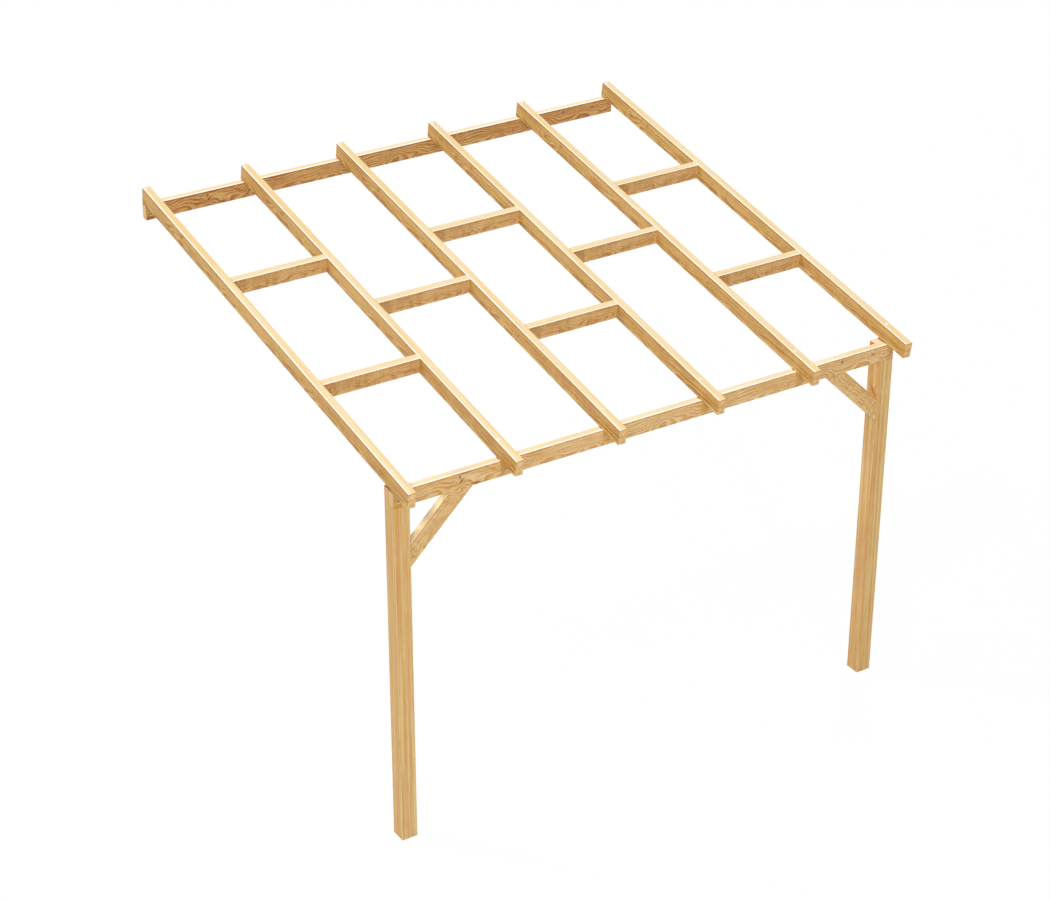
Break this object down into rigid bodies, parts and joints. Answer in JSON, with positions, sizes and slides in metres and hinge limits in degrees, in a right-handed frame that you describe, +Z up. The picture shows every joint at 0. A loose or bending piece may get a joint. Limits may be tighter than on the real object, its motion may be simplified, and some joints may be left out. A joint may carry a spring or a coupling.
{
  "type": "lean-to wooden pergola frame",
  "caption": "Open lean-to timber frame: sloping rafters with noggings on a wall ledger and a braced front beam on posts.",
  "frame": {"origin": "middle of the wall ledger's back face, which lies flat against the wall", "axes": "+X along the wall to the right seen from the garden, +Y into the wall, +Z up"},
  "size_m": [4.06, 3.9137, 3.511],
  "materials": {
    "planed_pine": "planed softwood, unfinished",
    "laminated_pine": "planed glued-laminated softwood, unfinished",
    "zinc_steel": "zinc-plated screw heads"
  },
  "bodies": {
    "root": {"wall_ledger": "planed_pine", "front_beam": "planed_pine", "left_post": "laminated_pine", "right_post": "laminated_pine", "left_brace": "planed_pine", "right_brace": "planed_pine", "rafter_1": "planed_pine", "rafter_2": "planed_pine", "rafter_3": "planed_pine", "rafter_4": "planed_pine", "rafter_5": "planed_pine", "rafter_6": "planed_pine", "nogging_1_rear": "planed_pine", "nogging_1_front": "planed_pine", "nogging_2_middle": "planed_pine", "nogging_3_rear": "planed_pine", "nogging_3_front": "planed_pine", "nogging_4_middle": "planed_pine", "nogging_5_rear": "planed_pine", "nogging_5_front": "planed_pine"}
  },
  "joints": []
}
